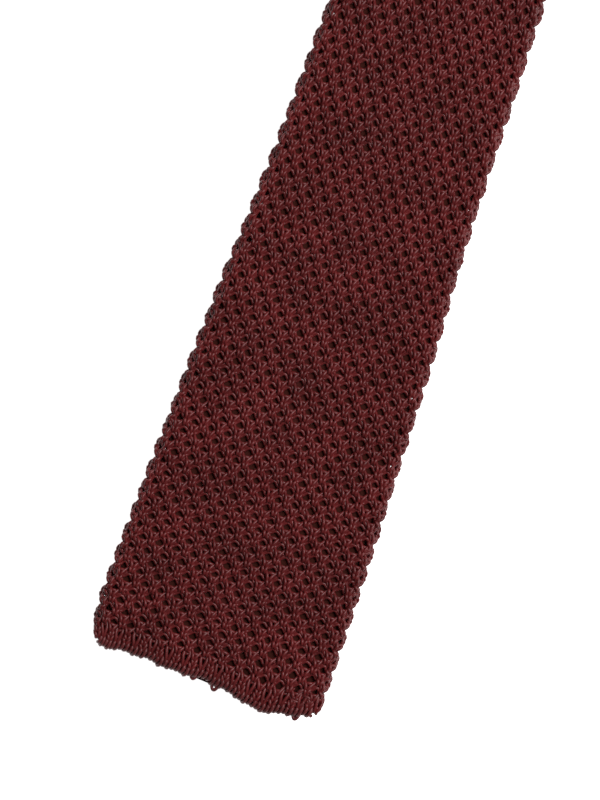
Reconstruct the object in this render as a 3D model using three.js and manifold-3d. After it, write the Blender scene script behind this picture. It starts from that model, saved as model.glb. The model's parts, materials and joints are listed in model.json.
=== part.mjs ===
// Square-ended knitted necktie, folded in four for the shelf. Millimetres, +Z up.
// X runs across the tie and Y along it. The blade is the top layer with its face up and its tip
// at the -Y end. Under it lie the shoulder, the neck and the tail, each turned over the last.
import * as THREE from "three";
import { mergeVertices } from "three/addons/utils/BufferGeometryUtils.js";
import Module from "manifold-3d";

const wasm = await Module();
wasm.setup();

// Widths across the tie, and how far from the blade's tip along the cloth each is reached
const tipWidth = 60;
const bladeWidth = 51.5;
const shoulderWidth = 40;
const neckWidth = 32;
const tailEndWidth = 42;
const bladeStation = 160;
const shoulderStation = 385;
const neckStartStation = 560;
const neckEndStation = 1000;

// Lengths of the folded layers
const foldSpan = 360;
const tipOverhang = 12;
const tailLength = 330;

// The knit is one strip wrapped into a flat sleeve, so each layer of the pile is two thicknesses
const knitThickness = 1.4;
const innerSpace = 1.2;
const edgeWall = 2;

// Air between the layers of the pile
const bladeGap = 2.4;
const neckGap = 0.6;
const tailGap = 2.2;
const clearance = 0.3;

// Centre-back seam
const seamWidth = 2;
const seamThickness = 0.5;
const seamGrooveDepth = 0.7;

// Sewn ends and the knots that finish them
const closingSeamDepth = 1.4;
const closingSeamHeight = 3.6;
const closingSeamSides = 8;
const knotSize = 5;
const knotHeight = 3.6;
const knotSides = 12;

// Keeper loop on the back of the blade, sized to let the tail pass
const keeperStation = 200;
const keeperSlack = 1;
const keeperFoot = 3;
const keeperDepth = 18;
const keeperThickness = 1;
const keeperPassage = 0.7;
const tackWidth = 1;
const tackThickness = 0.4;

// Blank woven label above the keeper
const labelLength = 40;
const labelDepth = 22;
const labelThickness = 0.4;
const labelOffset = 14;
const labelStitchWidth = 0.8;
const labelStitchThickness = 0.3;
const labelStitchInset = 2;

// Blank folded care tag on the back of the tail
const tagWidth = 16;
const tagLength = 26;
const tagThickness = 0.8;
const tagStation = 70;
const tagStitchDepth = 1.2;
const tagStitchThickness = 0.3;

// Stay tape inside the narrow part
const tapeWidth = 12;
const tapeThickness = 0.5;
const tapeEndSpace = 15;

const arcSegments = 6;

const panelThickness = 2 * knitThickness + innerSpace;
const tailBottom = 0;
const neckBottom = tailBottom + panelThickness + tailGap;
const shoulderBottom = neckBottom + panelThickness + neckGap;
const bladeBottom = shoulderBottom + panelThickness + bladeGap;

// Each fold turns about the outermost line of its loop, halfway between its two layers
function foldBetween(lowerBottom, gap) {
  return {
    axisHeight: lowerBottom + panelThickness + gap / 2,
    innerRadius: gap / 2,
    outerRadius: gap / 2 + panelThickness,
    clothLength: Math.PI * (gap / 2 + panelThickness / 2),
  };
}
const tailFold = foldBetween(tailBottom, tailGap);
const neckFold = foldBetween(neckBottom, neckGap);
const bladeFold = foldBetween(shoulderBottom, bladeGap);

// The pile is centred on the origin, from the sewn tip to the outside of the far folds
const bladeLength = foldSpan + neckFold.outerRadius + tipOverhang;
const tipReach = clearance + closingSeamDepth;
const pileLength = tipReach + bladeLength + bladeFold.outerRadius;
const farY = pileLength / 2 - bladeFold.outerRadius;
const nearY = farY - foldSpan;
const tipY = farY - bladeLength;
const tailY = farY - tailLength;

// Distances along the cloth from the tip to where each layer starts
const shoulderStart = bladeLength + bladeFold.clothLength;
const neckStart = shoulderStart + foldSpan + neckFold.clothLength;
const tailStart = neckStart + foldSpan + tailFold.clothLength;
const clothLength = tailStart + tailLength;

const widthStations = [
  [0, tipWidth],
  [bladeStation, bladeWidth],
  [shoulderStation, shoulderWidth],
  [neckStartStation, neckWidth],
  [neckEndStation, neckWidth],
  [clothLength, tailEndWidth],
];

function widthAt(station) {
  let index = 1;
  while (index < widthStations.length - 1 && widthStations[index][0] < station) index += 1;
  const [before, widthBefore] = widthStations[index - 1];
  const [after, widthAfter] = widthStations[index];
  return widthBefore + ((widthAfter - widthBefore) * (station - before)) / (after - before);
}

// The four layers. station is the distance along the cloth where fromY lies, and along is 1 where
// it grows with Y. A fold's turn is 1 where the layer turns up into the next one, and -1 down.
const layers = {
  blade: {
    bottom: bladeBottom,
    faceUp: true,
    lowY: tipY,
    highY: farY,
    fromY: tipY,
    station: 0,
    along: 1,
    highFold: { ...bladeFold, turn: -1 },
    knotSide: 1,
  },
  shoulder: {
    bottom: shoulderBottom,
    faceUp: false,
    lowY: nearY,
    highY: farY,
    fromY: farY,
    station: shoulderStart,
    along: -1,
    lowFold: { ...neckFold, turn: -1 },
    highFold: { ...bladeFold, turn: 1 },
  },
  neck: {
    bottom: neckBottom,
    faceUp: true,
    lowY: nearY,
    highY: farY,
    fromY: nearY,
    station: neckStart,
    along: 1,
    lowFold: { ...neckFold, turn: 1 },
    highFold: { ...tailFold, turn: -1 },
  },
  tail: {
    bottom: tailBottom,
    faceUp: false,
    lowY: tailY,
    highY: farY,
    fromY: farY,
    station: tailStart,
    along: -1,
    highFold: { ...tailFold, turn: 1 },
    knotSide: -1,
  },
};

const stationAt = (layer, y) => layer.station + layer.along * (y - layer.fromY);
const yAt = (layer, station) => layer.fromY + layer.along * (station - layer.station);
const layerWidth = (layer, y) => widthAt(stationAt(layer, y));
const backHeight = (layer) => layer.bottom + (layer.faceUp ? 0 : panelThickness);

// The underside of a piece on a layer's back, from its distance off the back and its thickness
function bottomOnBack(layer, distance, thickness) {
  if (layer.faceUp) return backHeight(layer) - distance - thickness;
  return backHeight(layer) + distance;
}

function solidOf(geometry) {
  geometry.deleteAttribute("normal");
  geometry.deleteAttribute("uv");
  const merged = mergeVertices(geometry, 1e-4);
  return new wasm.Manifold(
    new wasm.Mesh({
      numProp: 3,
      vertProperties: merged.attributes.position.array,
      triVerts: new Uint32Array(merged.index.array),
    }),
  );
}

function geometryOf(solid) {
  const mesh = solid.getMesh();
  const geometry = new THREE.BufferGeometry();
  geometry.setAttribute("position", new THREE.BufferAttribute(mesh.vertProperties, 3));
  geometry.setIndex(new THREE.BufferAttribute(mesh.triVerts, 1));
  geometry.computeVertexNormals();
  return geometry;
}

function extrude(shape, depth) {
  const options = { depth, bevelEnabled: false, curveSegments: arcSegments };
  return new THREE.ExtrudeGeometry(shape, options);
}

// A profile drawn in Y and Z, extruded across the tie and centred on x = 0
function acrossTie(shape, width) {
  const turn = new THREE.Matrix4().makeBasis(
    new THREE.Vector3(0, 1, 0),
    new THREE.Vector3(0, 0, 1),
    new THREE.Vector3(1, 0, 0),
  );
  return extrude(shape, width).translate(0, 0, -width / 2).applyMatrix4(turn);
}

// A profile drawn in X and Z, extruded along the tie and centred on y = 0
function alongTie(shape, length) {
  return extrude(shape, length).translate(0, 0, -length / 2).rotateX(Math.PI / 2);
}

function slab(width, length, thickness, x, y, bottom) {
  const geometry = new THREE.BoxGeometry(width, length, thickness);
  return geometry.translate(x, y, bottom + thickness / 2);
}

// Half of a fold's loop, from the layer's outer surface to its inner one. side is 1 at the +Y end
// and -1 at the -Y end, and the loop ends stopShort before the axis.
function halfLoop(centreY, fold, side, inset, stopShort) {
  const points = [];
  const addArc = (radius, from, to) => {
    for (let step = 0; step <= arcSegments; step += 1) {
      const angle = from + ((to - from) * step) / arcSegments;
      const y = centreY + side * radius * Math.cos(angle);
      points.push(new THREE.Vector2(y, fold.axisHeight - fold.turn * radius * Math.sin(angle)));
    }
  };
  const outer = fold.outerRadius - inset;
  const inner = fold.innerRadius + inset;
  addArc(outer, Math.PI / 2, Math.asin(stopShort / outer));
  addArc(inner, Math.asin(stopShort / inner), Math.PI / 2);
  return points;
}

// The layer seen from its side, with its folded ends. The space inside is the same shape inset,
// run on past each end so that the sleeve is open there.
function sideProfile(layer, inset) {
  const bottom = layer.bottom + inset;
  const top = layer.bottom + panelThickness - inset;
  const stopShort = inset > 0 ? -clearance : clearance / 2;
  const past = inset > 0 ? clearance : 0;
  const endPoints = (side, y, fold) => {
    if (fold) {
      const loop = halfLoop(y, fold, side, inset, stopShort);
      return fold.turn > 0 ? loop : loop.reverse();
    }
    const endY = y + side * past;
    return [new THREE.Vector2(endY, bottom), new THREE.Vector2(endY, top)];
  };
  const high = endPoints(1, layer.highY, layer.highFold);
  const low = endPoints(-1, layer.lowY, layer.lowFold).reverse();
  return new THREE.Shape([...high, ...low]);
}

// The layer seen from above, inset from its long edges and run on past its folded ends
function planOutline(layer, inset) {
  const between = widthStations
    .map(([station]) => yAt(layer, station))
    .filter((y) => y > layer.lowY && y < layer.highY);
  const stops = [layer.lowY, ...between, layer.highY].sort((a, b) => a - b);
  const right = stops.map((y) => new THREE.Vector2(layerWidth(layer, y) / 2 - inset, y));
  right.unshift(new THREE.Vector2(right[0].x, layer.lowY - panelThickness * 2));
  right.push(new THREE.Vector2(right.at(-1).x, layer.highY + panelThickness * 2));
  const left = right.map((point) => new THREE.Vector2(-point.x, point.y)).reverse();
  return new THREE.Shape([...right, ...left]);
}

function layerSolid(layer, sideInset, edgeInset) {
  const side = solidOf(acrossTie(sideProfile(layer, sideInset), tipWidth * 2));
  const plan = extrude(planOutline(layer, edgeInset), pileLength);
  return side.intersect(solidOf(plan.translate(0, 0, -pileLength / 2)));
}

// The sleeve of knit, hollow between its two thicknesses, with a groove down its back for the
// seam and, at a sewn end, a notch in one corner for the knot
const notchSize = knotSize + 2 * clearance;

function notchCentre(layer) {
  const x = layer.knotSide * (layerWidth(layer, layer.lowY) / 2 - notchSize / 2);
  return { x, y: layer.lowY + notchSize / 2 };
}

function knitSleeve(layer) {
  let sleeve = layerSolid(layer, 0, 0).subtract(layerSolid(layer, knitThickness, edgeWall));
  const middle = (layer.lowY + layer.highY) / 2;
  const length = layer.highY - layer.lowY;
  const height = seamGrooveDepth + knitThickness;
  const bottom = bottomOnBack(layer, -seamGrooveDepth, height);
  const width = seamWidth + 2 * clearance;
  sleeve = sleeve.subtract(solidOf(slab(width, length, height, 0, middle, bottom)));
  if (layer.knotSide) {
    const { x, y } = notchCentre(layer);
    const tall = panelThickness * 2;
    const notch = slab(notchSize, notchSize, tall, x, y, layer.bottom - tall / 4);
    sleeve = sleeve.subtract(solidOf(notch));
  }
  return geometryOf(sleeve);
}

// Linked seam that joins the strip's two edges down the middle of the back
function backSeam(layer) {
  const low = layer.lowY + (layer.lowFold ? clearance : 0);
  const high = layer.highY - clearance;
  const bottom = bottomOnBack(layer, clearance - seamGrooveDepth, seamThickness);
  return slab(seamWidth, high - low, seamThickness, 0, (low + high) / 2, bottom);
}

// Overcast seam that closes a sewn end, a flattened bar across the tie
function closingSeam(layer) {
  const shape = new THREE.Shape();
  shape.absellipse(0, 0, closingSeamDepth / 2, closingSeamHeight / 2, 0, Math.PI * 2);
  const points = shape.getSpacedPoints(closingSeamSides).slice(0, closingSeamSides);
  const geometry = acrossTie(new THREE.Shape(points), layerWidth(layer, layer.lowY));
  const y = layer.lowY - clearance - closingSeamDepth / 2;
  return geometry.translate(0, y, layer.bottom + panelThickness / 2);
}

// Tied-off yarn end, seated in the corner's notch
function closingKnot(layer) {
  const { x, y } = notchCentre(layer);
  const geometry = new THREE.SphereGeometry(knotSize / 2, knotSides, knotSides / 2);
  geometry.rotateX(Math.PI / 2).scale(1, 1, knotHeight / knotSize);
  return geometry.translate(x, y, layer.bottom + panelThickness / 2);
}

// Keeper loop across the back of the blade: two sewn feet and a passage between them
const keeperY = yAt(layers.blade, keeperStation);
const keeperPassageWidth = tailEndWidth + 2 * keeperSlack;
const keeperWidth = keeperPassageWidth + 2 * keeperFoot;

function keeperLoop() {
  const footTop = bladeBottom - clearance;
  const passageTop = bladeBottom - keeperPassage;
  const halfWidth = keeperWidth / 2;
  const halfPassage = keeperPassageWidth / 2;
  const topEdge = [
    [-halfWidth, footTop],
    [-halfPassage - keeperFoot / 3, footTop],
    [-halfPassage, passageTop],
    [halfPassage, passageTop],
    [halfPassage + keeperFoot / 3, footTop],
    [halfWidth, footTop],
  ];
  const bottomEdge = topEdge.map(([x, z]) => [x, z - keeperThickness]).reverse();
  const outline = [...topEdge, ...bottomEdge].map(([x, z]) => new THREE.Vector2(x, z));
  return alongTie(new THREE.Shape(outline), keeperDepth).translate(0, keeperY, 0);
}

function keeperTack(side) {
  const x = side * (keeperWidth / 2 - keeperFoot / 2);
  const distance = 2 * clearance + keeperThickness;
  const bottom = bottomOnBack(layers.blade, distance, tackThickness);
  return slab(tackWidth, keeperDepth - 2 * tackWidth, tackThickness, x, keeperY, bottom);
}

// Blank woven label, sewn down along its two short sides
const labelY = keeperY + keeperDepth / 2 + labelOffset + labelDepth / 2;

function makerLabel() {
  const bottom = bottomOnBack(layers.blade, clearance, labelThickness);
  return slab(labelLength, labelDepth, labelThickness, 0, labelY, bottom);
}

function labelStitches(side) {
  const x = side * (labelLength / 2 - labelStitchInset);
  const distance = 2 * clearance + labelThickness;
  const bottom = bottomOnBack(layers.blade, distance, labelStitchThickness);
  const length = labelDepth - labelStitchInset;
  return slab(labelStitchWidth, length, labelStitchThickness, x, labelY, bottom);
}

// Blank folded care tag on the back of the tail, sewn down at the end away from its fold
const tagY = tailY + tagStation;

function careTag() {
  const bottom = bottomOnBack(layers.tail, clearance, tagThickness);
  return slab(tagWidth, tagLength, tagThickness, 0, tagY, bottom);
}

function careTagStitches() {
  const y = tagY + tagLength / 2 - tagStitchDepth * 2;
  const distance = 2 * clearance + tagThickness;
  const bottom = bottomOnBack(layers.tail, distance, tagStitchThickness);
  return slab(tagWidth - 2 * tagStitchDepth, tagStitchDepth, tagStitchThickness, 0, y, bottom);
}

// Stay tape loose inside a narrow layer, which stops the knit from stretching
function stayTape(layer) {
  const length = layer.highY - layer.lowY - 2 * tapeEndSpace;
  const middle = (layer.lowY + layer.highY) / 2;
  const bottom = layer.bottom + panelThickness / 2 - tapeThickness / 2;
  return slab(tapeWidth, length, tapeThickness, 0, middle, bottom);
}

function finish(color, roughness) {
  return new THREE.MeshStandardMaterial({ color, roughness, metalness: 0 });
}
const silkKnit = finish(0x4e2222, 0.55);
const seamYarn = finish(0x471d1d, 0.6);
const sewingThread = finish(0x3c1616, 0.5);
const wovenLabel = finish(0x1f1c1f, 0.45);
const careSatin = finish(0xe6e2da, 0.4);
const cottonTape = finish(0xd9d2c3, 0.85);

const tie = new THREE.Group();

function add(name, geometry, material) {
  const mesh = new THREE.Mesh(geometry, material);
  mesh.name = name;
  tie.add(mesh);
}

for (const [name, layer] of Object.entries(layers)) {
  add(`${name}_knit`, knitSleeve(layer), silkKnit);
  add(`${name}_back_seam`, backSeam(layer), seamYarn);
}
for (const name of ["blade", "tail"]) {
  add(`${name}_closing_seam`, closingSeam(layers[name]), seamYarn);
  add(`${name}_closing_knot`, closingKnot(layers[name]), seamYarn);
}
add("keeper_loop", keeperLoop(), silkKnit);
add("keeper_tack_left", keeperTack(-1), sewingThread);
add("keeper_tack_right", keeperTack(1), sewingThread);
add("maker_label", makerLabel(), wovenLabel);
add("label_stitches_left", labelStitches(-1), sewingThread);
add("label_stitches_right", labelStitches(1), sewingThread);
add("care_tag", careTag(), careSatin);
add("care_tag_stitches", careTagStitches(), sewingThread);
add("shoulder_stay_tape", stayTape(layers.shoulder), cottonTape);
add("neck_stay_tape", stayTape(layers.neck), cottonTape);

export default tie;
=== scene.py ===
import json
import math

import bmesh
import bpy
import numpy as np
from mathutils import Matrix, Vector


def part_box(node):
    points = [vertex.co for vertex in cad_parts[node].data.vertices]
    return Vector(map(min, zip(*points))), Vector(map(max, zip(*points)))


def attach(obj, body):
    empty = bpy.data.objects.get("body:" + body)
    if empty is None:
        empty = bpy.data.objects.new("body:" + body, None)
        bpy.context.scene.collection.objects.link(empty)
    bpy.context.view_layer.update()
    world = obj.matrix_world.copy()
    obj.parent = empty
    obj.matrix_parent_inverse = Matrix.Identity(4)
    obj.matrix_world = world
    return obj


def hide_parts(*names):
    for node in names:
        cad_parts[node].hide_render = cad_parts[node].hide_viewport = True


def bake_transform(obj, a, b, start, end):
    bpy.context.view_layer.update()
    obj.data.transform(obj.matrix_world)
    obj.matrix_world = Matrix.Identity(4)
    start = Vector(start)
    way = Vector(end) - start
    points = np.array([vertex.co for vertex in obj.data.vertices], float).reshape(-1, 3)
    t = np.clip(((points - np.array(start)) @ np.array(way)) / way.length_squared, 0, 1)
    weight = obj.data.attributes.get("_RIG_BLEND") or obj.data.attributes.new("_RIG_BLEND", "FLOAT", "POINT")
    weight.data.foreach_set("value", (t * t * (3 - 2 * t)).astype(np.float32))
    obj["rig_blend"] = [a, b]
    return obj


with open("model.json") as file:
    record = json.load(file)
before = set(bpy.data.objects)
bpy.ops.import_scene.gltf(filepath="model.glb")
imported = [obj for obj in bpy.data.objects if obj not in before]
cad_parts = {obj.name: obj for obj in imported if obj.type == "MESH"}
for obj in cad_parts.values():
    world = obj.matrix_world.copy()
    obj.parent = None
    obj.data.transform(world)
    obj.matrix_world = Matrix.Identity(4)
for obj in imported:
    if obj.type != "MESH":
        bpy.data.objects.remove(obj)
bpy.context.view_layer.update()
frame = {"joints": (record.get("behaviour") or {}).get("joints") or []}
mm = 0.001
scene = bpy.context.scene


def boxOf(node):
    low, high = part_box(node)
    return np.array(low) / mm, np.array(high) / mm


def smoothStep(low, high, value):
    t = np.clip((value - low) / (high - low), 0, 1)
    return t * t * (3 - 2 * t)


def linear(hexColour):
    values = [int(hexColour[i : i + 2], 16) / 255 for i in (1, 3, 5)]
    values = [v / 12.92 if v <= 0.04045 else ((v + 0.055) / 1.055) ** 2.4 for v in values]
    return (*values, 1.0)


def hingeOf(name):
    joint = next(joint for joint in frame["joints"] if joint["name"] == name)
    return np.array(joint["pos_m"]) / mm


# The tie lies in four layers, folded over three times, with the face of the blade on top.
halfThick = 2.0
bladeLow, bladeHigh = boxOf("blade_knit")
bladeZ = bladeHigh[2] - halfThick
shoulderZ = 2 * hingeOf("blade_fold")[2] - bladeZ
neckZ = 2 * hingeOf("neck_fold")[2] - shoulderZ
tailZ = 2 * hingeOf("tail_fold")[2] - neckZ
tipY, tailY = bladeLow[1], boxOf("tail_knit")[0][1]

# Stations run along the cloth in mm, from the tip of the blade to the end of the tail.
bladeFoldRadius = (bladeZ - shoulderZ) / 2
neckFoldRadius = (shoulderZ - neckZ) / 2
tailFoldRadius = (neckZ - tailZ) / 2
farY = hingeOf("blade_fold")[1] - bladeFoldRadius - halfThick
nearY = hingeOf("neck_fold")[1] + neckFoldRadius + halfThick
bladeEnd = farY - tipY
shoulderStart = bladeEnd + math.pi * bladeFoldRadius
shoulderEnd = shoulderStart + farY - nearY
neckStart = shoulderEnd + math.pi * neckFoldRadius
neckEnd = neckStart + farY - nearY
tailStart = neckEnd + math.pi * tailFoldRadius
clothEnd = tailStart + farY - tailY

cloth = {
    "widthAt": (0, 12, 48, 76, 96, 112, 132, 160, 385, 560, 1000, clothEnd),
    "width": (60.4, 61.2, 59.5, 57.8, 56.4, 54.3, 52.8, 51.8, 40, 32, 32, 42),
    "walesFrom": (0, 210, 300, bladeEnd, 470, 560, 1080, 1270),
    "wales": (56, 52, 48, 44, 40, 36, 36, 40),  # columns of stitches round the tube
    "layerRadius": 1.3,  # from the middle of the tube to the middle of its wall
    "closedRadius": 0.8,  # the same at the two ends, which are sewn shut
    "opensIn": 7,  # how far from a sewn end the tube is fully open
    "yarnRadius": 0.46,
    "rowHeight": 1.4,  # of the plain rows at both ends
    "plainRows": 2,
    "plainReach": 1.6,  # how far up a plain stitch reaches, in rows
    "pickedUp": 1.9,  # how much taller a plain stitch is that the openwork takes up
    "firstRow": -0.9,  # the end row lies in the overcasting
    "repeatAtTip": 5.42,  # four rows of openwork, drawn up a little at the tip
    "repeatGrowth": 0.0066,
    "repeatMost": 6.7,
    "heldReach": 0.82,  # how far up a held stitch reaches, in repeats
    "heldPast": 3,  # how far it may reach in among the plain rows
    "lean": 0.16,  # how far a stitch leans over in one repeat, as a share of a wale
    "turnedIn": 2,  # wales that a row of the face goes on round the edge
    "stray": (0.13, 0.25, 0.05),  # how uneven the stitches are: wales across, mm along and mm out
    "seed": 41,
    "scallop": 1.3,  # how deep the edge dips between two held stitches
    "scallopShape": 0.6,  # below 1, the dips are pointed
    "scallopAcross": (-3.4, 0.4),  # it sets in between these distances from the edge
    "notches": (0.697, 0.197),  # where in a repeat the right and the left edge dip
    "openworkFrom": (2, 6),  # the scallop grows between these distances from an end
    "seamDip": 0.55,  # how far the back seam draws the cloth in, and how far across
    "seamDipAcross": 1.1,
}


def widthAt(s):
    return np.interp(s, cloth["widthAt"], cloth["width"])


def walesAt(s):
    return cloth["wales"][int(np.searchsorted(cloth["walesFrom"], s, side="right")) - 1]


def layerRadiusAt(s):
    opened = smoothStep(0, cloth["opensIn"], s) * smoothStep(0, cloth["opensIn"], clothEnd - s)
    return cloth["closedRadius"] + (cloth["layerRadius"] - cloth["closedRadius"]) * opened


plainDepth = cloth["firstRow"] + cloth["plainRows"] * cloth["rowHeight"]
repeatStarts = [plainDepth]
while repeatStarts[-1] < clothEnd - plainDepth:
    grown = cloth["repeatAtTip"] + cloth["repeatGrowth"] * repeatStarts[-1]
    repeatStarts.append(repeatStarts[-1] + min(grown, cloth["repeatMost"]))
repeatStarts = np.array(repeatStarts)
endless = 1e5  # the first and the last layer go on for loops that stand out past the ends


def lieInLayers(x, s, out):  # out is from the middle of the tube towards the face of the cloth
    y, z = np.zeros(s.shape), np.zeros(s.shape)

    def layer(start, end, fromY, way, height, faceWay):
        here = (s >= start) & (s < end)
        y[here] = fromY + way * (s[here] - max(start, 0))
        z[here] = height + faceWay * out[here]

    def fold(start, radius, endY, way, height):
        here = (s >= start) & (s < start + math.pi * radius)
        turn = (s[here] - start) / radius
        reach = radius + way * out[here]
        y[here] = endY + way * reach * np.sin(turn)
        z[here] = height + reach * np.cos(turn)

    layer(-endless, bladeEnd, tipY, 1, bladeZ, 1)
    fold(bladeEnd, bladeFoldRadius, farY, 1, (bladeZ + shoulderZ) / 2)
    layer(shoulderStart, shoulderEnd, farY, -1, shoulderZ, -1)
    fold(shoulderEnd, neckFoldRadius, nearY, -1, (shoulderZ + neckZ) / 2)
    layer(neckStart, neckEnd, nearY, 1, neckZ, 1)
    fold(neckEnd, tailFoldRadius, farY, 1, (neckZ + tailZ) / 2)
    layer(tailStart, endless, farY, -1, tailZ, -1)
    return np.stack([x, y, z], axis=-1)


def roundTube(wale, s, lift, wales):  # wale counts round the tube from the middle of the face
    half = widthAt(s) / 2
    radius = layerRadiusAt(s)
    flat = half - radius
    girth = 2 * (2 * flat + math.pi * radius)
    q = (wale * girth / wales + girth / 2) % girth - girth / 2
    side, reach = np.sign(q), np.abs(q)
    turn = np.clip((reach - flat) / radius, 0, math.pi)
    onBack = np.maximum(reach - flat - math.pi * radius, 0)
    x = np.minimum(reach, flat) - onBack + (radius + lift) * np.sin(turn)
    out = (radius + lift) * np.cos(turn)
    repeat = np.interp(s, repeatStarts, np.arange(len(repeatStarts)))
    notch = np.where(side > 0, *cloth["notches"])
    scallop = 1 - np.abs(np.sin(math.pi * (repeat - notch))) ** cloth["scallopShape"]
    inOpenwork = smoothStep(*cloth["openworkFrom"], s) * smoothStep(*cloth["openworkFrom"], clothEnd - s)
    inner, outer = cloth["scallopAcross"]
    x = x - cloth["scallop"] * scallop * smoothStep(half + inner, half + outer, x) * inOpenwork
    out = out + cloth["seamDip"] * np.exp(-((x / cloth["seamDipAcross"]) ** 2)) * (out < 0)
    return side * x, out


# The sewn end of the blade is uneven: its left corner is drawn in, and the right half hangs lower.
sewnEnd = {
    "tuck": 1.6,
    "tuckAcross": (23, 31),  # it grows between these distances left of the middle
    "tuckFades": 7,  # how far up the cloth it is gone
    "ripples": ((0.3, 0.31, 0.6), (0.2, 0.9, 2)),  # height in mm, radians in a mm, and start
    "ripplesFade": 9,
    "sag": 1.7,  # where it hangs lowest
    "sagAt": 17,
    "sagAcross": 6.5,
    "halfSag": 0.8,  # of the whole right half, which sets in and fades out over these distances
    "halfFrom": (0, 5),
    "halfTo": (-29, -24),
    "sagFades": 16,
}


def layCloth(x, s, out):
    end = sewnEnd
    tuck = end["tuck"] * smoothStep(*end["tuckAcross"], -x) * smoothStep(-end["tuckFades"], 0, -s)
    ripple = sum(height * np.sin(turn * x + start) for height, turn, start in end["ripples"])
    ripple = ripple * smoothStep(-end["ripplesFade"], 0, -s)
    sag = end["sag"] * np.exp(-(((x - end["sagAt"]) / end["sagAcross"]) ** 2))
    sag = sag + end["halfSag"] * smoothStep(*end["halfFrom"], x) * smoothStep(*end["halfTo"], -x)
    return lieInLayers(x + tuck, s + ripple - sag * smoothStep(-end["sagFades"], 0, -s), out)


# Half of each kind of stitch, from the middle of the next wale to the stitch's own middle: wales across,
# height up the cloth, and mm out of it. Heights are in repeats for the openwork and in rows for plain knit.
shortLoop = (
    (-1.0, 0.0, 0.14), (-0.75, 0.0, 0.06), (-0.60, -0.01, -0.24), (-0.38, -0.045, -0.38),
    (-0.16, -0.03, -0.08), (-0.11, 0.03, 0.32), (-0.17, 0.10, 0.40), (-0.24, 0.17, 0.28),
    (-0.27, 0.23, -0.12), (-0.20, 0.28, -0.38), (0.0, 0.295, -0.40),
)
heldLoop = (
    (-1.0, 0.15, -0.22), (-0.8, 0.12, -0.36), (-0.6, 0.03, -0.50), (-0.4, -0.04, -0.40),
    (-0.16, -0.03, -0.08), (-0.12, 0.03, 0.30), (-0.17, 0.10, 0.38), (-0.24, 0.17, 0.34),
    (-0.34, 0.25, 0.12), (-0.51, 0.33, -0.24), (-0.66, 0.42, -0.48), (-0.68, 0.52, -0.48),
    (-0.56, 0.62, -0.32), (-0.34, 0.70, -0.20), (-0.15, 0.79, -0.40), (0.0, 0.81, -0.42),
)
plainLoop = (
    (-0.5, 0.0, -0.40), (-0.30, -0.08, -0.36), (-0.15, 0.05, -0.05), (-0.13, 0.30, 0.26),
    (-0.24, 0.70, 0.34), (-0.35, 1.10, 0.20), (-0.34, 1.38, -0.13), (-0.20, 1.58, -0.38),
    (0.0, 1.65, -0.41),
)
# The four rows of a repeat: their stitch, the wale they begin on, and how far up the repeat they begin.
openworkRows = ((shortLoop, 0, 0.0), (heldLoop, 0, 0.237), (shortLoop, 1, 0.5), (heldLoop, 1, 0.737))


def wholeLoop(half):
    half = np.array(half)
    return np.concatenate([half, half[-2::-1] * (-1, 1, 1)])


def rowsBetween(start, end):  # every row of knitting that begins between two stations
    rows = []
    height = cloth["rowHeight"]
    for i in range(cloth["plainRows"]):
        depth = cloth["firstRow"] + i * height
        rows.append((depth, plainLoop, None, height))
        rows.append((clothEnd - depth - cloth["plainReach"] * height, plainLoop, None, height))
    for begin, nextBegin in zip(repeatStarts[:-1], repeatStarts[1:]):
        repeat = nextBegin - begin
        for loop, odd, phase in openworkRows:
            if begin + (phase + cloth["heldReach"]) * repeat < clothEnd - plainDepth + cloth["heldPast"]:
                rows.append((begin + phase * repeat, loop, odd, repeat))
    return [row for row in sorted(rows, key=lambda row: row[0]) if start <= row[0] < end]


def curveThrough(points, spacing, between=6):  # a smooth strand through the points, in even steps
    ends = np.concatenate([2 * points[:1] - points[1:2], points, 2 * points[-1:] - points[-2:-1]])
    a, b, c, d = ends[:-3, None], ends[1:-2, None], ends[2:-1, None], ends[3:, None]
    t = np.linspace(0, 1, between, endpoint=False)[None, :, None]
    path = 0.5 * (2 * b + (c - a) * t + (2 * a - 5 * b + 4 * c - d) * t**2 + (3 * b - a - 3 * c + d) * t**3)
    path = np.concatenate([path.reshape(-1, 3), points[-1:]])
    run = np.concatenate([[0], np.cumsum(np.linalg.norm(np.diff(path, axis=0), axis=1))])
    even = np.linspace(0, run[-1], max(2, int(round(run[-1] / spacing)) + 1))
    return np.stack([np.interp(even, run, path[:, i]) for i in range(3)], axis=1)


def rowStrand(row, side, spacing):
    begin, loop, odd, height = row
    wales = walesAt(begin)
    edge = wales // 4 + cloth["turnedIn"]
    low, high = (-edge, edge) if side == "face" else (edge, wales - edge)
    own = np.arange(low, high) if odd is None else np.arange(low + (low + odd) % 2, high, 2)
    across, up, lift = wholeLoop(loop).T
    stray = np.random.RandomState(cloth["seed"] + int(begin * 10)).uniform(-1, 1, (wales, 3))
    stray = stray * cloth["stray"]
    if odd is None:
        moved = stray[own % wales][:, None] * (1 - 2 * np.abs(across))[None, :, None]
    else:
        nextOne = own[:, None] + np.where(across < 0, -1, 1)[None]
        nearness = np.abs(across)[None, :, None]
        moved = stray[own % wales][:, None] * (1 - nearness) + stray[nextOne % wales] * nearness
    lean = 0 if odd is None else cloth["lean"] * up * (1 - np.abs(across))
    wale = own[:, None] + 0.5 + (across + lean)[None] + moved[..., 0]
    nextToOpenwork = abs(begin + height - plainDepth) < 0.1
    taller = np.where(nextToOpenwork & (own % 2 == 1), cloth["pickedUp"], 1.0)
    s = begin + up[None] * height * taller[:, None] + moved[..., 1]
    out = lift[None] + moved[..., 2]
    wale, s, out = (np.append(values[:, :-1].ravel(), values[-1, -1]) for values in (wale, s, out))
    x, out = roundTube(wale, s, out, wales)
    return curveThrough(layCloth(x, s, out), spacing)


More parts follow.
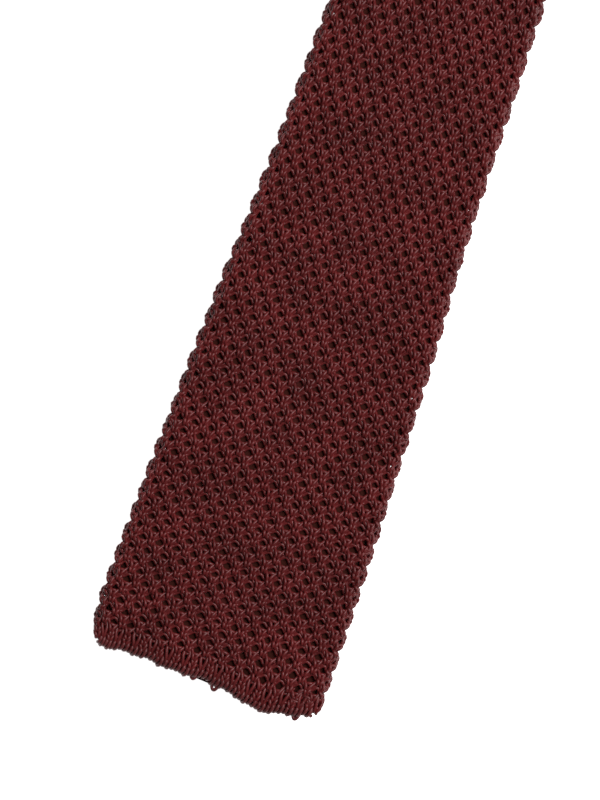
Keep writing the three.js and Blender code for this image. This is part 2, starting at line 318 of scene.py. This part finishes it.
def addObject(name, mesh, material, smooth=True):
    piece = bpy.data.objects.new(name, mesh)
    scene.collection.objects.link(piece)
    mesh.materials.clear()
    mesh.materials.append(material)
    mesh.polygons.foreach_set("use_smooth", [smooth] * len(mesh.polygons))
    return piece


def layOutBake(mesh):  # one flat map, looking down on the cloth, for a piece with a great many faces
    places = np.zeros(len(mesh.vertices) * 3)
    mesh.vertices.foreach_get("co", places)
    flat = places.reshape(-1, 3)[:, :2]
    flat = (flat - flat.min(axis=0)) / max(np.ptp(flat, axis=0).max(), 1e-6)
    corners = np.zeros(len(mesh.loops), dtype=np.int32)
    mesh.loops.foreach_get("vertex_index", corners)
    layer = mesh.uv_layers.new(name="OFBake", do_init=False)
    layer.data.foreach_set("uv", flat[corners].astype(np.float32).ravel())
    mesh.uv_layers.active_index = 0


def yarnPiece(name, strands, radius, material, sides=4):
    curve = bpy.data.curves.new(name, "CURVE")
    curve.dimensions = "3D"
    curve.bevel_depth = radius * mm
    curve.bevel_resolution = sides // 2 - 2
    curve.use_fill_caps = True
    for strand in strands:
        spline = curve.splines.new("POLY")
        spline.points.add(len(strand) - 1)
        spline.points.foreach_set("co", np.insert(strand * mm, 3, 1, axis=1).ravel())
    holder = bpy.data.objects.new(name + ".path", curve)
    scene.collection.objects.link(holder)
    bpy.context.view_layer.update()
    solid = holder.evaluated_get(bpy.context.evaluated_depsgraph_get())
    mesh = bpy.data.meshes.new_from_object(solid)
    mesh.name = name
    bpy.data.objects.remove(holder)
    bpy.data.curves.remove(curve)
    layOutBake(mesh)
    return addObject(name, mesh, material)


def settle(piece, body, slotName, *nodes):
    if nodes:
        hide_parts(*nodes)
    if isinstance(body, str):
        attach(piece, body)
    else:
        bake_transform(piece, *body)
    return piece


# Camera, floor and light. The camera looks straight down on the lower part of the blade.
studio = {
    "roll": 19.25,  # how far the tie lies over in the view, degrees
    "viewLength": 199.0,  # what the view takes in at the height of the blade's face
    "tipAside": 0.26,
    "tipBelow": 74.4,  # from the tip to the middle of the view, along the tie
    "cameraHeight": 900.0,
    "sensor": 36,
    "clip": (0.05, 20),
    "floor": "#fbfbfb",
    "floorSize": 60.0,
    "floorRoughness": 0.9,
    "floorGlow": 0.95,
    "sky": 0.14,  # the light that comes from all round
    "keyPower": 19.5,
    "keyPlace": (0.6, 0.5, 1.1),
    "keyAim": (0, -0.1, 0.02),
    "keySize": 0.7,
}
cameraData = bpy.data.cameras.new("camera")
cameraData.sensor_width = studio["sensor"]
cameraData.lens = studio["sensor"] * studio["cameraHeight"] / studio["viewLength"]
cameraData.clip_start, cameraData.clip_end = studio["clip"]
camera = bpy.data.objects.new("camera", cameraData)
scene.collection.objects.link(camera)
closedEnd = boxOf("blade_closing_seam")[0][1]
camera.location = (
    studio["tipAside"] * mm,
    (closedEnd + studio["tipBelow"]) * mm,
    (bladeHigh[2] + studio["cameraHeight"]) * mm,
)
camera.rotation_euler = (0, 0, math.radians(studio["roll"]))
scene.camera = camera


def addNode(tree, kind, settings=None, links=None):
    node = tree.nodes.new(kind)
    for key, value in (settings or {}).items():
        if isinstance(key, int) or key in node.inputs:
            node.inputs[key].default_value = value
        else:
            setattr(node, key, value)
    for key, source in (links or {}).items():
        tree.links.new(source, node.inputs[key])
    return node


def newMaterial(name):
    material = bpy.data.materials.new(name)
    material.use_nodes = True
    material.node_tree.nodes.clear()
    return material, material.node_tree


def finishMaterial(tree, settings, links):
    shader = addNode(tree, "ShaderNodeBsdfPrincipled", settings, links)
    addNode(tree, "ShaderNodeOutputMaterial", None, {"Surface": shader.outputs[0]})


def softBox(name, energy, size, place, aim):
    light = bpy.data.lights.new(name, "AREA")
    light.shape, light.size, light.energy = "SQUARE", size, energy
    lamp = bpy.data.objects.new(name, light)
    scene.collection.objects.link(lamp)
    lamp.location = place
    way = np.array(aim) - np.array(place)
    tilt = math.atan2(math.hypot(way[0], way[1]), -way[2])
    lamp.rotation_euler = (tilt, 0, math.atan2(way[1], way[0]) - math.pi / 2)


# The floor glows: painted light, which keeps it white where the tie casts its shadow and throws some light
# back up onto the tie.
floorMaterial, tree = newMaterial("white_paper_with_painted_glow")
finishMaterial(tree, {"Base Color": linear(studio["floor"]), "Roughness": studio["floorRoughness"],
                      "Emission Color": (1, 1, 1, 1), "Emission Strength": studio["floorGlow"]}, {})
floorShape = bmesh.new()
bmesh.ops.create_grid(floorShape, x_segments=1, y_segments=1, size=studio["floorSize"] / 2)
floorMesh = bpy.data.meshes.new("floor")
floorShape.to_mesh(floorMesh)
floorShape.free()
addObject("floor", floorMesh, floorMaterial, smooth=False)

# The backdrop is white to the camera, and only "sky" bright as a light.
world = bpy.data.worlds.new("studio")
world.use_nodes = True
tree = world.node_tree
seen = addNode(tree, "ShaderNodeLightPath").outputs["Is Camera Ray"]
strength = addNode(tree, "ShaderNodeMapRange", {"To Min": studio["sky"], "To Max": 1.0}, {"Value": seen})
tree.nodes["Background"].inputs["Color"].default_value = (1, 1, 1, 1)
tree.links.new(strength.outputs[0], tree.nodes["Background"].inputs["Strength"])
scene.world = world
softBox("key", studio["keyPower"], studio["keySize"], studio["keyPlace"], studio["keyAim"])
scene.view_settings.view_transform = "Standard"
print("camera, floor and light are set")

# Spun silk, dyed burgundy: a soft yarn with a low sheen, its filaments lying along it.
silk = {
    "deep": "#4a0d0d",
    "pale": "#701f20",
    "roughness": 0.44,
    "specular": 0.36,
    "sheen": 0.05,
    "sheenRoughness": 0.4,
    "sheenTint": "#e8c9c9",
    "patchSize": 9.0,  # how far apart the shade of the dye drifts, mm
    "fibreSize": 0.8,  # specks of shade within the yarn, mm
    "shadeFrom": 0.6,  # the two patterns together, where the dye is deep and where it is pale
    "shadeTo": 1.4,
    "filaments": 7,  # ridges round the yarn, coarser than real filaments so that they show
    "filamentRuns": 60,  # how often they change along a strand
    "filamentDepth": 0.07,
    "filamentStrength": 0.35,
}


def silkYarn(name, deep, pale):
    material, tree = newMaterial(name)
    place = addNode(tree, "ShaderNodeTexCoord").outputs["Object"]
    patches = addNode(tree, "ShaderNodeTexNoise", {"Scale": 1000 / silk["patchSize"], "Detail": 3.0},
                      {"Vector": place})
    fibres = addNode(tree, "ShaderNodeTexNoise", {"Scale": 1000 / silk["fibreSize"], "Detail": 2.0},
                     {"Vector": place})
    shade = addNode(tree, "ShaderNodeMath", {"operation": "ADD"},
                    {0: patches.outputs[0], 1: fibres.outputs[0]})
    spread = addNode(tree, "ShaderNodeMapRange",
                     {"From Min": silk["shadeFrom"], "From Max": silk["shadeTo"]},
                     {"Value": shade.outputs[0]})
    colour = addNode(tree, "ShaderNodeMix", {"data_type": "RGBA", 6: linear(deep), 7: linear(pale)},
                     {0: spread.outputs[0]})
    along = addNode(tree, "ShaderNodeUVMap", {"uv_map": "UVMap"})
    drawnOut = addNode(tree, "ShaderNodeVectorMath",
                       {"operation": "MULTIPLY", 1: (silk["filamentRuns"], silk["filaments"], 1)},
                       {0: along.outputs[0]})
    ridges = addNode(tree, "ShaderNodeTexNoise", {"Scale": 1.0, "Detail": 1.0},
                     {"Vector": drawnOut.outputs[0]})
    bump = addNode(tree, "ShaderNodeBump",
                   {"Strength": silk["filamentStrength"], "Distance": silk["filamentDepth"] * mm},
                   {"Height": ridges.outputs[0]})
    finishMaterial(tree, {"Roughness": silk["roughness"], "Specular IOR Level": silk["specular"],
                          "Sheen Weight": silk["sheen"], "Sheen Roughness": silk["sheenRoughness"],
                          "Sheen Tint": linear(silk["sheenTint"])},
                   {"Base Color": colour.outputs[2], "Normal": bump.outputs[0]})
    return material


knitYarn = silkYarn("burgundy_spun_silk_yarn", silk["deep"], silk["pale"])

# The pieces of knitting: body, stations, side, and the yarn's step in mm with the sides of its section.
fine, medium, coarse = (0.6, 6), (0.9, 4), (1.6, 4)
rowsBefore, rowsAfter = 2, 1  # a fold's own rows begin and leave off this far before its two ends
knitPieces = (
    ("blade_face_knit_tip", "blade", 0, 45, "face", fine),
    ("blade_face_knit_near", "blade", 45, 95, "face", fine),
    ("blade_face_knit_middle", "blade", 95, 145, "face", fine),
    ("blade_face_knit_upper", "blade", 145, 195, "face", fine),
    ("blade_face_knit_far", "blade", 195, bladeEnd - rowsBefore, "face", coarse),
    ("blade_back_knit_near", "blade", 0, 190, "back", coarse),
    ("blade_back_knit_far", "blade", 190, bladeEnd - rowsBefore, "back", coarse),
    ("shoulder_face_knit_far", "shoulder", shoulderStart - rowsAfter, 560, "face", coarse),
    ("shoulder_face_knit_near", "shoulder", 560, shoulderEnd - rowsBefore, "face", coarse),
    ("shoulder_back_knit_far", "shoulder", shoulderStart - rowsAfter, 560, "back", coarse),
    ("shoulder_back_knit_near", "shoulder", 560, shoulderEnd - rowsBefore, "back", medium),
    ("neck_face_knit_near", "neck", neckStart - rowsAfter, 940, "face", medium),
    ("neck_face_knit_far", "neck", 940, neckEnd - rowsBefore, "face", coarse),
    ("neck_back_knit_near", "neck", neckStart - rowsAfter, 940, "back", coarse),
    ("neck_back_knit_far", "neck", 940, neckEnd - rowsBefore, "back", coarse),
    ("tail_face_knit_far", "tail", tailStart - rowsAfter, 1300, "face", coarse),
    ("tail_face_knit_near", "tail", 1300, clothEnd, "face", coarse),
    ("tail_back_knit_far", "tail", tailStart - rowsAfter, 1300, "back", coarse),
    ("tail_back_knit_near", "tail", 1300, clothEnd, "back", medium),
)
faces = 0
for name, body, start, end, side, (step, sides) in knitPieces:
    strands = [rowStrand(row, side, step) for row in rowsBetween(start, end)]
    piece = yarnPiece(name, strands, cloth["yarnRadius"], knitYarn, sides)
    settle(piece, body, "silk_knit", body + "_knit")
    faces += len(piece.data.polygons)
print("knitting is made,", faces, "faces")

# At a fold the rows turn over with the cloth. "bend" is half the height that the fold bends in.
folds = {
    "blade_fold": {"joins": ("blade", "shoulder"), "start": bladeEnd, "end": shoulderStart,
                   "inside": "back", "y": farY, "height": (bladeZ + shoulderZ) / 2, "bend": 1.6},
    "neck_fold": {"joins": ("shoulder", "neck"), "start": shoulderEnd, "end": neckStart,
                  "inside": "face", "y": nearY, "height": (shoulderZ + neckZ) / 2, "bend": 0.9},
    "tail_fold": {"joins": ("neck", "tail"), "start": neckEnd, "end": tailStart,
                  "inside": "back", "y": farY, "height": (neckZ + tailZ) / 2, "bend": 1.6},
}
gathers = (0.5, 1.05)  # rows gathered on the inside, mm on, which cover the ground when it lies open


def bendOf(fold):
    low, high = fold["height"] - fold["bend"], fold["height"] + fold["bend"]
    return *fold["joins"], (0, fold["y"] * mm, high * mm), (0, fold["y"] * mm, low * mm)


for name, fold in folds.items():
    rows = rowsBetween(fold["start"] - rowsBefore, fold["end"] - rowsAfter)
    strands = [rowStrand(row, side, medium[0]) for row in rows for side in ("face", "back")]
    for shift in gathers:
        strands += [rowStrand((row[0] + shift, *row[1:]), fold["inside"], coarse[0]) for row in rows]
    piece = yarnPiece(name + "_knit", strands, cloth["yarnRadius"], knitYarn)
    settle(piece, bendOf(fold), "silk_knit")
print("folds are made")

# Inside the knitting, a sheet stands for the ends and floats of its yarn; its dark colour is painted shade,
# the shade inside the tube that shows through the openwork.
ground = {
    "inset": 2.3,
    "shortOf": 0.3,  # how far from a sewn end it stops
    "halfThick": 0.45,
    "flatness": (0.3, 0.6),  # powers that square off its section, across and out
    "around": 28,
    "step": 10.0,
    "foldStep": 0.8,
    # painted shade: the sheet's colour is darkened to stand for the shade inside the tube
    "shade": "#3a1812",
    "seamShade": "#50201e",  # the seam's turned edges, behind the middle of the face
    "seamWidth": 3.2,
    "fluffSize": 1.1,
    "fluffDepth": 0.2,
    "roughness": 0.95,
    "specular": 0.1,
}


def paintedShadeMaterial():
    material, tree = newMaterial("inner_floats_painted_shade")
    place = addNode(tree, "ShaderNodeTexCoord").outputs["Object"]
    across = addNode(tree, "ShaderNodeSeparateXYZ", None, {0: place}).outputs[0]
    reach = addNode(tree, "ShaderNodeMath", {"operation": "ABSOLUTE"}, {0: across}).outputs[0]
    edge = ground["seamWidth"] * mm
    band = addNode(tree, "ShaderNodeMapRange", {"From Min": edge * 0.5, "From Max": edge, "To Min": 1.0,
                                                "To Max": 0.0}, {"Value": reach}).outputs[0]
    fluff = addNode(tree, "ShaderNodeTexNoise", {"Scale": 1000 / ground["fluffSize"], "Detail": 3.0},
                    {"Vector": place})
    share = addNode(tree, "ShaderNodeMath", {"operation": "MULTIPLY"}, {0: band, 1: fluff.outputs[0]})
    colour = addNode(tree, "ShaderNodeMix",
                     {"data_type": "RGBA", 6: linear(ground["shade"]), 7: linear(ground["seamShade"])},
                     {0: share.outputs[0]})
    bump = addNode(tree, "ShaderNodeBump", {"Strength": 0.5, "Distance": ground["fluffDepth"] * mm},
                   {"Height": fluff.outputs[0]})
    finishMaterial(tree, {"Roughness": ground["roughness"], "Specular IOR Level": ground["specular"]},
                   {"Base Color": colour.outputs[2], "Normal": bump.outputs[0]})
    return material


paintedShadeCloth = paintedShadeMaterial()


def tubeOfCloth(name, start, end, step, material):
    rows = max(4, int((end - start) / step))
    shape = bmesh.new()
    bmesh.ops.create_grid(shape, x_segments=ground["around"], y_segments=rows, size=1)
    turn = np.array([v.co.x for v in shape.verts]) * math.pi
    s = start + (np.array([v.co.y for v in shape.verts]) + 1) / 2 * (end - start)
    half = widthAt(s) / 2 - ground["inset"]
    ease = np.minimum(layerRadiusAt(s) / cloth["layerRadius"], 1)
    flatAcross, flatOut = ground["flatness"]
    x = half * np.sign(np.cos(turn)) * np.abs(np.cos(turn)) ** flatAcross
    out = ground["halfThick"] * ease * np.sign(np.sin(turn)) * np.abs(np.sin(turn)) ** flatOut
    for v, place in zip(shape.verts, layCloth(x, s, out)):
        v.co = place * mm
    bmesh.ops.remove_doubles(shape, verts=shape.verts, dist=0.01 * mm)
    bmesh.ops.holes_fill(shape, edges=[e for e in shape.edges if e.is_boundary])
    bmesh.ops.recalc_face_normals(shape, faces=shape.faces)
    mesh = bpy.data.meshes.new(name)
    shape.to_mesh(mesh)
    shape.free()
    return addObject(name, mesh, material)


layers = {
    "blade": (0, bladeEnd),
    "shoulder": (shoulderStart, shoulderEnd),
    "neck": (neckStart, neckEnd),
    "tail": (tailStart, clothEnd),
}


def shortOfEnds(start, end, gap):  # stations for a piece that stops short of the sewn ends
    return start + gap * (start == 0), end - gap * (end == clothEnd)


grounds = {}
for body, stations in layers.items():
    start, end = shortOfEnds(*stations, ground["shortOf"])
    grounds[body] = settle(tubeOfCloth(body + "_ground", start, end, ground["step"], paintedShadeCloth),
                           body, "silk_knit", body + "_knit")
for name, fold in folds.items():
    settle(tubeOfCloth(name + "_ground", fold["start"], fold["end"], ground["foldStep"], paintedShadeCloth),
           bendOf(fold), "silk_knit")
print("ground is made")

# The back seam is joined edge to edge with a chain of doubled silk, in the groove along the back.
seam = {
    "thread": 0.3,
    "stitch": 2.8,
    "sway": 0.42,
    "depth": 1.66,  # from the middle of the tube
    "lift": 0.12,
    "step": 0.7,
    "shortOf": 1.5,  # how far from a sewn end it stops
}
seamYarn = silkYarn("burgundy_doubled_sewing_silk", "#521b1b", "#6c2a2b")


def seamStrands(start, end):
    s = np.linspace(start, end, int((end - start) / seam["step"]))
    swing = 2 * math.pi * s / seam["stitch"]
    strands = []
    for way in (-1, 1):
        x = way * seam["sway"] * np.sin(swing)
        strands.append(layCloth(x, s, -seam["depth"] + way * seam["lift"] * np.cos(swing)))
    return strands


for body, stations in layers.items():
    piece = yarnPiece(body + "_back_seam_stitches", seamStrands(*shortOfEnds(*stations, seam["shortOf"])),
                      seam["thread"], seamYarn)
    settle(piece, body, "seam_yarn", body + "_back_seam")
for name, fold in folds.items():
    piece = yarnPiece(name + "_seam_stitches", seamStrands(fold["start"], fold["end"]), seam["thread"],
                      seamYarn)
    settle(piece, bendOf(fold), "seam_yarn")

# The two ends are whipped shut over strands laid along them, and the thread is tied off at a corner.
whip = {
    "thread": 0.46,
    "step": 1.15,
    "points": 14,  # in one turn of the thread
    "inset": 1.4,  # from the edges of the cloth
    "reach": 1.4,
    "height": 1.15,
    "slant": 0.4,
    "middle": 0.3,  # from the end of the cloth
    "unevenness": 0.12,
    "short": 0.8,  # every other stitch is this much shorter
    "seed": 7,
    "coreDepths": (-0.3, 0.5, 1.3),
    "corePoints": 60,
    "coreWave": (0.25, 1.3),  # height in mm, and radians in a mm
    "looseLoops": ((-2.1, 0.8, 2.1), (3.6, 0.95, 2.5), (25.2, 0.85, 2.4)),  # place, half width and drop
}
knot = {
    "thread": 0.4,
    "place": (0.92, 1, 1),  # shares of the corner's place and size that the knot takes up
    "size": (1.5, 1.15, 1),
    "points": 90,
    "strands": ((2, 3, 0.30), (3, 4, 0.42)),  # turns, loops, and how far the loops cross over
}


def overcast(end):  # whip stitches round a closed end of the tube
    half = widthAt(0 if end == "tip" else clothEnd) / 2 - whip["inset"]
    turns = round(2 * half / whip["step"])
    t = np.linspace(0, turns, turns * whip["points"] + 1)
    size = 1 + whip["unevenness"] * np.random.RandomState(whip["seed"]).uniform(-1, 1, turns + 2)
    size[::2] *= whip["short"]
    reach = whip["reach"] * np.interp(t, np.arange(turns + 2), size)
    x = -half + 2 * half * t / turns + whip["slant"] * np.sin(2 * math.pi * t)
    s = whip["middle"] - reach * np.cos(2 * math.pi * t)
    out = whip["height"] * np.sin(2 * math.pi * t)
    core = np.linspace(-half, half, whip["corePoints"])
    high, turn = whip["coreWave"]
    strands = [layCloth(x, s if end == "tip" else clothEnd - s, out)]
    for depth in whip["coreDepths"]:
        along = np.full(whip["corePoints"], depth if end == "tip" else clothEnd - depth)
        strands.append(layCloth(core, along, high * np.sin(turn * core)))
    return strands


def looseLoop(x, width, drop):  # a loop of the end row that stands proud of the stitching
    t = np.linspace(0, math.pi, 16)
    return layCloth(x + width * np.cos(t), 0.4 - drop * np.sin(t), 0.25 * np.cos(t))


tipLoops = [looseLoop(*loop) for loop in whip["looseLoops"]]
piece = yarnPiece("blade_overcast_end", overcast("tip") + tipLoops, whip["thread"], seamYarn, 6)
settle(piece, "blade", "seam_yarn", "blade_closing_seam")
piece = yarnPiece("tail_overcast_end", overcast("tail"), whip["thread"], seamYarn, 4)
settle(piece, "tail", "seam_yarn", "tail_closing_seam")


def tiedOff(node):  # the end of the thread, knotted round itself
    low, high = boxOf(node)
    centre = (low + high) / 2 * knot["place"]
    size = ((high - low) / 2 - knot["thread"]) * knot["size"]
    t = np.linspace(0, 2 * math.pi, knot["points"])
    strands = []
    for turns, loops, wide in knot["strands"]:
        reach = 1 - wide + wide * np.cos(loops * t)
        ring = np.stack([reach * np.cos(turns * t + loops), reach * np.sin(turns * t + loops),
                         np.sin(loops * t)], axis=1)
        strands.append(centre + ring * size)
    return strands


for body, sides in (("blade", 6), ("tail", 4)):
    piece = yarnPiece(body + "_tied_end", tiedOff(body + "_closing_knot"), knot["thread"], seamYarn, sides)
    settle(piece, body, "seam_yarn", body + "_closing_knot")
print("seams are made")


# The keeper is a narrow band of plain knit across the back of the blade.
keeper = {
    "thread": 0.24,
    "wale": 1.8,
    "row": 1.45,
    "edge": 0.6,  # room for the edge stitches, both sides together
    "firstRow": 0.5,
    "lastRow": 2.4,  # room for its loops
    "relief": 0.6,  # how far the stitches stand out, beside those of the tie
    "step": 0.5,
    "thick": 0.35,
    "inset": 0.7,
    "footDepth": 0.5,  # from the top of its box
    "hang": 0.35,  # how far the middle stands off the blade
    "hangFrom": 5,
}
keeperLow, keeperHigh = boxOf("keeper_loop")


def keeperHeight(x):
    half = (keeperHigh[0] - keeperLow[0]) / 2
    foot = keeperHigh[2] - keeper["footDepth"]
    full = -half + keeper["hangFrom"]
    return foot - keeper["hang"] * smoothStep(-half, full, x) * smoothStep(-half, full, -x)


def keeperRows():
    across, up, lift = wholeLoop(plainLoop).T
    wales = int((keeperHigh[1] - keeperLow[1] - keeper["edge"]) / keeper["wale"])
    rows = []
    for x in np.arange(keeperLow[0] + keeper["firstRow"], keeperHigh[0] - keeper["lastRow"], keeper["row"]):
        own = np.arange(wales)[:, None]
        y = (keeperLow[1] + keeperHigh[1]) / 2 + (own + 0.5 + across - wales / 2) * keeper["wale"]
        along = x + up * keeper["row"] + 0 * own
        z = keeperHeight(along) - keeper["relief"] * lift
        rows.append(curveThrough(np.stack([along, y, z], axis=-1).reshape(-1, 3), keeper["step"]))
    return rows


# A sewn label is never quite flat: it ripples across and along, in radians in a mm.
ripple = {"across": 0.35, "slant": 0.2, "along": 0.27}


def slab(name, low, high, thick, material, cuts=(24, 24), height=None, wave=0.0):
    shape = bmesh.new()
    bmesh.ops.create_grid(shape, x_segments=cuts[0], y_segments=cuts[1], size=0.5)
    for v in shape.verts:
        x = low[0] + (v.co.x + 0.5) * (high[0] - low[0])
        y = low[1] + (v.co.y + 0.5) * (high[1] - low[1])
        z = (low[2] + high[2]) / 2 if height is None else float(height(x))
        z += wave * math.sin(ripple["across"] * x + ripple["slant"] * y) * math.cos(ripple["along"] * y)
        v.co = (x * mm, y * mm, (z + thick / 2) * mm)
    bmesh.ops.recalc_face_normals(shape, faces=shape.faces)
    bmesh.ops.solidify(shape, geom=shape.faces, thickness=thick * mm)
    bmesh.ops.recalc_face_normals(shape, faces=shape.faces)
    mesh = bpy.data.meshes.new(name)
    shape.to_mesh(mesh)
    shape.free()
    return addObject(name, mesh, material, smooth=False)


# Behind the keeper's loops lies a sheet whose dark colour is painted shade.
grounds["keeper"] = slab("keeper_ground", keeperLow + keeper["inset"], keeperHigh - keeper["inset"],
                         keeper["thick"], paintedShadeCloth, height=keeperHeight)
settle(grounds["keeper"], "blade", "silk_knit", "keeper_loop")
piece = yarnPiece("keeper_knit", keeperRows(), keeper["thread"], knitYarn)
settle(piece, "blade", "silk_knit", "keeper_loop")

# Sewing thread is three-ply polyester, matt and darker than the silk.
sewingThread = silkYarn("matt_polyester_sewing_thread", "#2a1012", "#3d191b")
barTack = {"thread": 0.16, "pitch": 0.33, "step": 0.35}
stitch = {
    "thread": 0.15,
    "onLabel": 8,  # stitches down each side
    "onCareTag": 6,
    "gap": 0.12,  # shares of the pitch: before a stitch, and the stitch itself
    "length": 0.76,
    "rise": 0.5,  # share of its box that it stands up
    "askew": 0.12,
    "points": 9,
}


def zigzag(node):  # close stitches that fill a bar
    low, high = boxOf(node)
    thick = barTack["thread"]
    run = np.arange(low[1] + thick, high[1] - thick, barTack["pitch"])
    points = np.zeros((len(run) * 2, 3))
    points[:, 1] = np.repeat(run, 2)
    points[0::2, 0] = low[0] + thick
    points[1::2, 0] = high[0] - thick
    points[:, 2] = (low[2] + high[2]) / 2
    return [curveThrough(points, barTack["step"])]


def runningStitch(node, along, count, faceDown):
    low, high = boxOf(node)
    across = 1 - along
    pitch = (high[along] - low[along]) / count
    inner, outer = (high[2], low[2]) if faceDown else (low[2], high[2])
    t = np.linspace(0, 1, stitch["points"])
    strands = []
    for i in range(count):
        points = np.zeros((stitch["points"], 3))
        points[:, along] = low[along] + pitch * (i + stitch["gap"] + stitch["length"] * t)
        points[:, across] = (low[across] + high[across]) / 2 + stitch["askew"] * np.sin(i * 2.1) * (t - 0.5)
        points[:, 2] = inner + (outer - inner) * stitch["rise"] * np.sin(math.pi * t) ** 0.5
        strands.append(points)
    return strands


for side in ("left", "right"):
    node = "keeper_tack_" + side
    piece = yarnPiece("keeper_bar_tack_" + side, zigzag(node), barTack["thread"], sewingThread)
    settle(piece, "blade", "sewing_thread", node)
    node = "label_stitches_" + side
    strands = runningStitch(node, 1, stitch["onLabel"], True)
    piece = yarnPiece("label_running_stitch_" + side, strands, stitch["thread"], sewingThread)
    settle(piece, "blade", "sewing_thread", node)
strands = runningStitch("care_tag_stitches", 0, stitch["onCareTag"], False)
piece = yarnPiece("care_tag_running_stitch", strands, stitch["thread"], sewingThread)
settle(piece, "tail", "sewing_thread", "care_tag_stitches")


# Woven labels and tape: fine threads crossing at right angles, which give a ribbed and slightly
# lustrous surface. Each has its two shades, the pitch of its ribs in mm, their angle, roughness and sheen.
weave = {
    "bandsInOne": 10 / math.pi,  # bands to a metre of a wave texture at scale 1
    "distortion": 0.4,
    "wearSize": 4,
    "ribDepth": 0.08,
}


def wovenMaterial(name, warp, weft, pitch, twill, roughness, sheen):
    material, tree = newMaterial(name)
    place = addNode(tree, "ShaderNodeTexCoord").outputs["Object"]
    turned = addNode(tree, "ShaderNodeMapping", {"Rotation": (0, 0, math.radians(twill))}, {"Vector": place})
    ribs = addNode(tree, "ShaderNodeTexWave",
                   {"Scale": 1000 / pitch / weave["bandsInOne"], "Distortion": weave["distortion"],
                    "Detail": 1.0}, {"Vector": turned.outputs[0]})
    wear = addNode(tree, "ShaderNodeTexNoise", {"Scale": 1000 / weave["wearSize"], "Detail": 4.0},
                   {"Vector": place})
    share = addNode(tree, "ShaderNodeMath", {"operation": "MULTIPLY"},
                    {0: ribs.outputs[1], 1: wear.outputs[0]})
    colour = addNode(tree, "ShaderNodeMix", {"data_type": "RGBA", 6: linear(warp), 7: linear(weft)},
                     {0: share.outputs[0]})
    bump = addNode(tree, "ShaderNodeBump", {"Strength": 0.5, "Distance": weave["ribDepth"] * mm},
                   {"Height": ribs.outputs[1]})
    finishMaterial(tree, {"Roughness": roughness, "Sheen Weight": sheen},
                   {"Base Color": colour.outputs[2], "Normal": bump.outputs[0]})
    return material


wovenLabel = wovenMaterial("charcoal_damask_label_cloth", "#1c1b1d", "#3a383b", 0.5, 90, 0.55, 0.2)
careSatin = wovenMaterial("white_polyester_satin_ribbon", "#c9c6be", "#efece4", 0.4, 0, 0.35, 0.1)
cottonTape = wovenMaterial("unbleached_cotton_twill_tape", "#a89a80", "#d8ccb4", 0.9, 45, 0.85, 0.2)
labelThick = 0.7  # share of its box, the rest is room to ripple
# Piece, node, body, slot, material, cuts in the mesh, and height of the ripple.
labels = (
    ("blank_maker_label", "maker_label", "blade", "woven_label", wovenLabel, (40, 22), 0.04),
    ("blank_care_tag", "care_tag", "tail", "care_satin", careSatin, (12, 20), 0.1),
    ("shoulder_tape", "shoulder_stay_tape", "shoulder", "cotton_tape", cottonTape, (4, 60), 0.0),
    ("neck_tape", "neck_stay_tape", "neck", "cotton_tape", cottonTape, (4, 60), 0.0),
)
for name, node, body, slotName, material, cuts, wave in labels:
    low, high = boxOf(node)
    grounds[name] = slab(name, low, high, (high[2] - low[2]) * labelThick, material, cuts, None, wave)
    settle(grounds[name], body, slotName, node)
print("labels and keeper are made")
